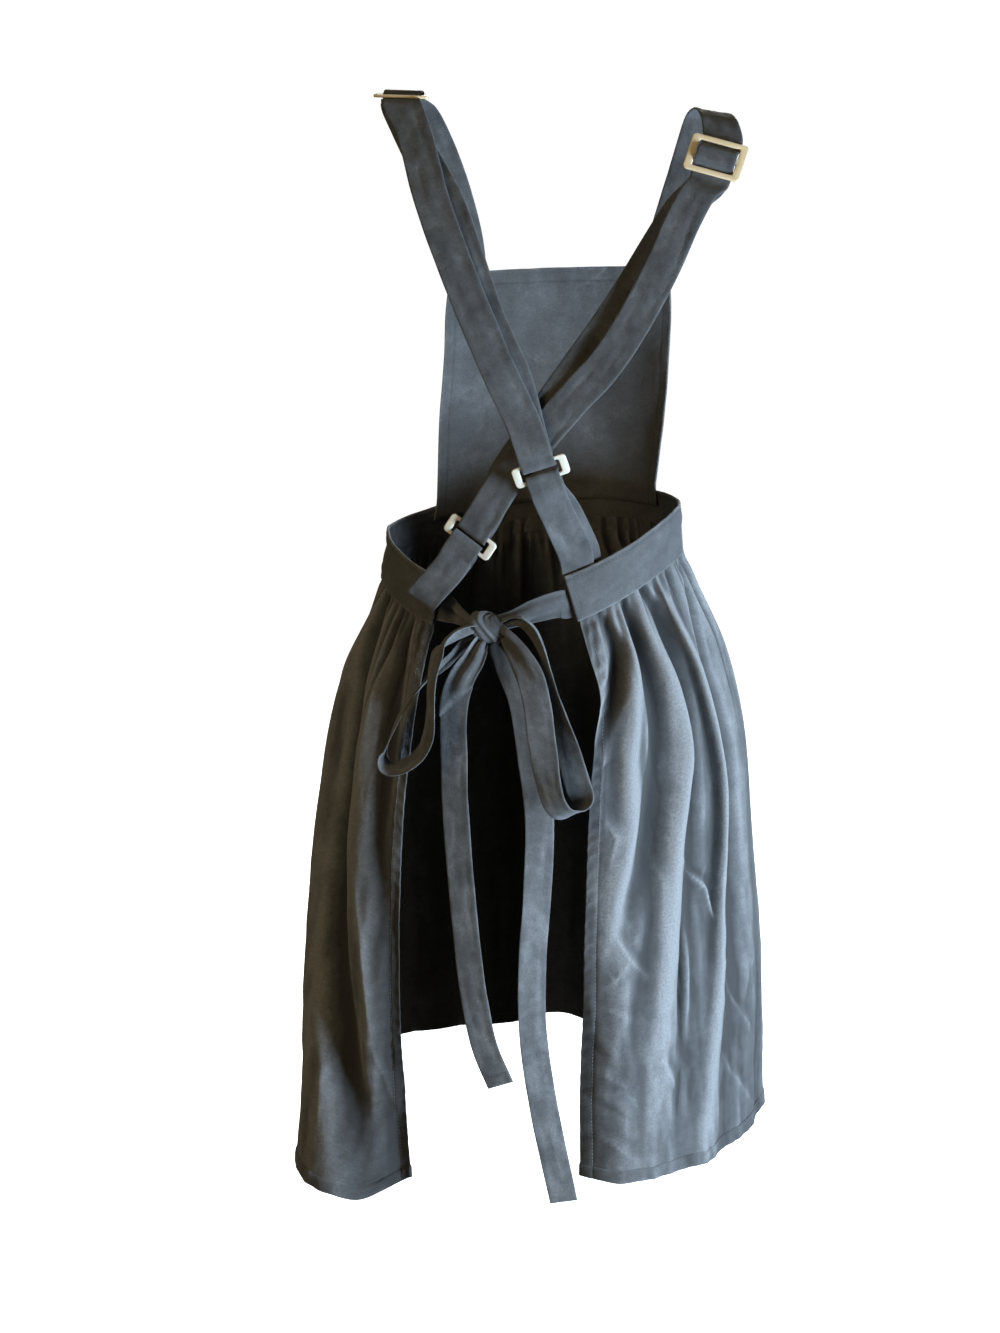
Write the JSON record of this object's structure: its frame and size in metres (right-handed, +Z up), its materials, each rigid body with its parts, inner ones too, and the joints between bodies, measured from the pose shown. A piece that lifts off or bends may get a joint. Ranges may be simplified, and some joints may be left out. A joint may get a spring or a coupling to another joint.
{
  "type": "apron",
  "caption": "Cross-back apron in worn form: gathered skirt open at the back, waistband, bib, crossed straps with sliders and rings, waist ties knotted in a bow.",
  "frame": {"origin": "midway between the two shoulder straps, where they lie on the shoulders", "axes": "+Z up, the open back with the bow faces -Y and the bib +Y, +X to the wearer's right"},
  "size_m": [0.4144, 0.389, 0.8914],
  "materials": {
    "cloth": "washed blue-grey woven cotton",
    "slider_plastic": "cream plastic",
    "ring_plastic": "off-white plastic"
  },
  "bodies": {
    "root": {"skirt": "cloth", "waistband": "cloth", "bib": "cloth", "strap_left": "cloth", "strap_right": "cloth", "slider_left": "slider_plastic", "slider_right": "slider_plastic", "ring_left": "ring_plastic", "ring_right": "ring_plastic", "back_loop_left": "cloth", "back_loop_right": "cloth", "tie_left": "cloth", "tie_right": "cloth"}
  },
  "joints": []
}
